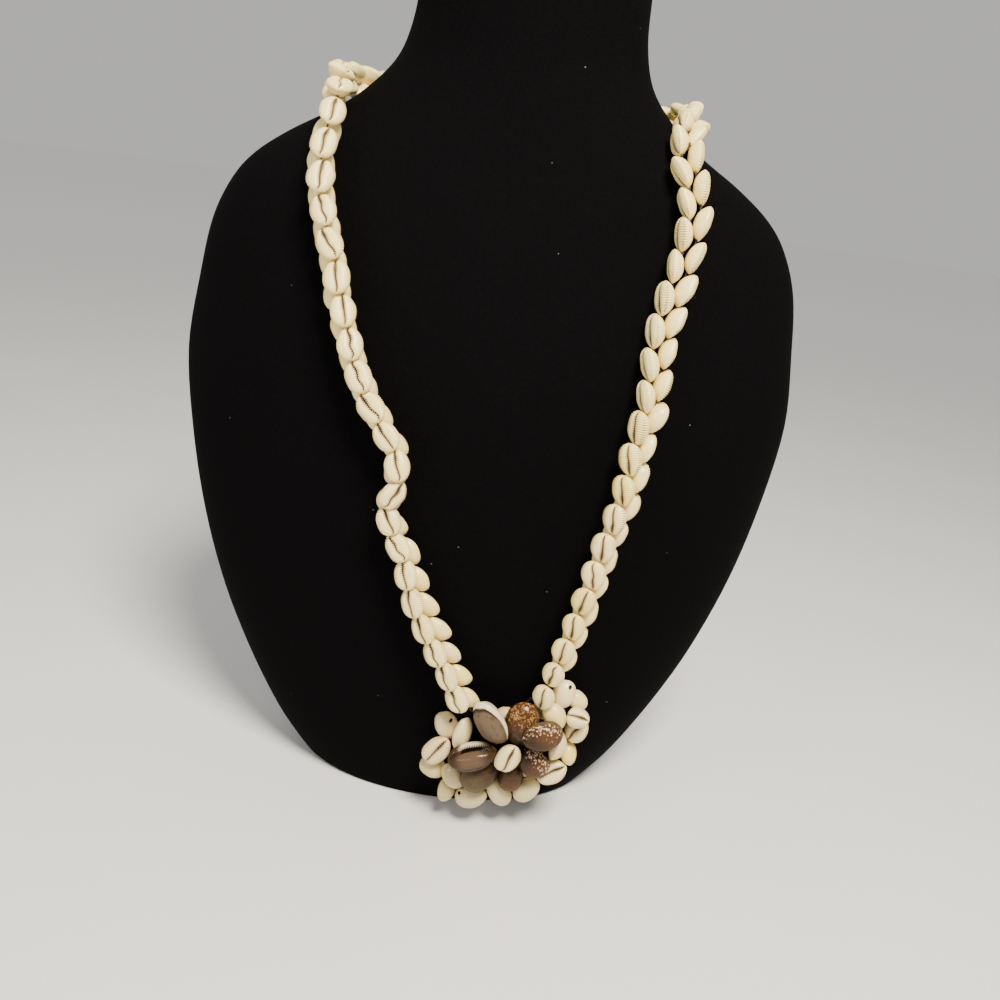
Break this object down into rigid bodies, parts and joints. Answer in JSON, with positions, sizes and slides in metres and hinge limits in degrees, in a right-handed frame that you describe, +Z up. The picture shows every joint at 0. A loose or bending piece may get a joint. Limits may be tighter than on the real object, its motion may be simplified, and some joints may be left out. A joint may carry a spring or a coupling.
{
  "type": "shell lei on a neck bust",
  "caption": "Rope of small white cowrie shells with a flower of larger brown cowries as its pendant, hanging on a plain black velvet neck bust with a flat foot.",
  "frame": {"origin": "centre of the bust's foot, on the surface that it stands on", "axes": "+Z up the neck, the lei's front faces -Y, +X to the viewer's right"},
  "size_m": [0.286, 0.145, 0.396],
  "materials": {
    "velvet": "matte black velvet",
    "thread": "matte dark cotton thread",
    "white_cowrie": "naturally glossy cream shell",
    "yellow_cowrie": "naturally glossy pale yellow shell",
    "grey_cowrie": "glossy grey-brown shell",
    "brown_cowrie": "glossy bronze shell with pale speckles"
  },
  "bodies": {
    "root": {"bust": "velvet", "front_thread": "thread", "back_thread": "thread", "left_strand": "white_cowrie", "right_strand": "white_cowrie", "heart": "white_cowrie", "petal_tall_left": "grey_cowrie", "petal_left": "grey_cowrie", "petal_low_left": "grey_cowrie", "petal_bottom": "brown_cowrie", "petal_low_right": "brown_cowrie", "petal_right": "brown_cowrie", "petal_tall_right": "brown_cowrie", "rim_1": "white_cowrie", "rim_2": "white_cowrie", "rim_3": "white_cowrie", "rim_4": "white_cowrie", "rim_5": "white_cowrie", "rim_6": "white_cowrie", "rim_7": "white_cowrie", "rim_8": "white_cowrie", "rim_9": "white_cowrie", "rim_10": "white_cowrie", "rim_11": "white_cowrie", "rim_12": "yellow_cowrie", "rim_13": "white_cowrie", "rim_14": "white_cowrie", "rim_15": "white_cowrie", "rim_16": "white_cowrie", "rim_17": "white_cowrie", "rim_18": "white_cowrie", "rim_19": "white_cowrie", "rim_20": "white_cowrie"}
  },
  "joints": []
}
